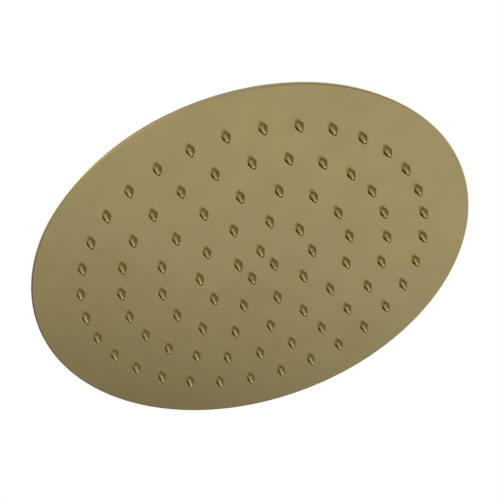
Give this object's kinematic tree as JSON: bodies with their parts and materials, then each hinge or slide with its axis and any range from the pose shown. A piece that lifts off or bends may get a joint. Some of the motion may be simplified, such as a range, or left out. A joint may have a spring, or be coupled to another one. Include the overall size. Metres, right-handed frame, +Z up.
{
  "type": "round shower head",
  "caption": "Thin round overhead shower head: a flat disc with rings of soft spray nozzles, hung by a ball joint under a threaded inlet socket.",
  "frame": {"origin": "centre of the mouth of the threaded inlet socket, where the shower arm screws in", "axes": "+Z up along the inlet, away from the disc, which hangs face down; +X through the first nozzle of every ring"},
  "size_m": [0.25, 0.25, 0.0562],
  "materials": {
    "satin_gold_sheet": "satin coated stainless steel sheet in a muted khaki gold",
    "satin_gold_fitting": "turned brass with the same satin gold coating",
    "gold_silicone": "soft silicone coloured to match the disc, slightly glossy",
    "turned_brass": "bare turned brass",
    "white_plastic": "slippery white moulded plastic",
    "black_rubber": "matte black rubber",
    "filter_steel": "bare stainless steel",
    "green_plastic": "moulded green plastic"
  },
  "bodies": {
    "stem": {"ball_stem": "satin_gold_fitting", "inlet_washer": "black_rubber", "inlet_filter": "filter_steel", "regulator_body": "green_plastic", "regulator_ring": "black_rubber"},
    "liner": {"ball_liner": "white_plastic"},
    "seat": {"ball_seat": "white_plastic", "seat_oring": "black_rubber"},
    "head": {"face_plate": "satin_gold_sheet", "back_plate": "satin_gold_sheet", "nozzles_ring_1": "gold_silicone", "nozzles_ring_2": "gold_silicone", "nozzles_ring_3": "gold_silicone", "nozzles_ring_4": "gold_silicone", "nozzles_ring_5": "gold_silicone", "inlet_neck": "turned_brass", "collar_nut": "satin_gold_fitting"}
  },
  "joints": [
    {"name": "swivel", "type": "hinge", "parent": "stem", "child": "liner", "pos_m": [0, 0, -0.02919], "axis": [0, 0, 1], "continuous": true},
    {"name": "tilt", "type": "hinge", "parent": "liner", "child": "seat", "pos_m": [0, 0, -0.02919], "axis": [1, 0, 0], "range_deg": [-15, 15]},
    {"name": "spin", "type": "hinge", "parent": "seat", "child": "head", "pos_m": [0, 0, -0.02919], "axis": [0, 0, 1], "continuous": true}
  ]
}
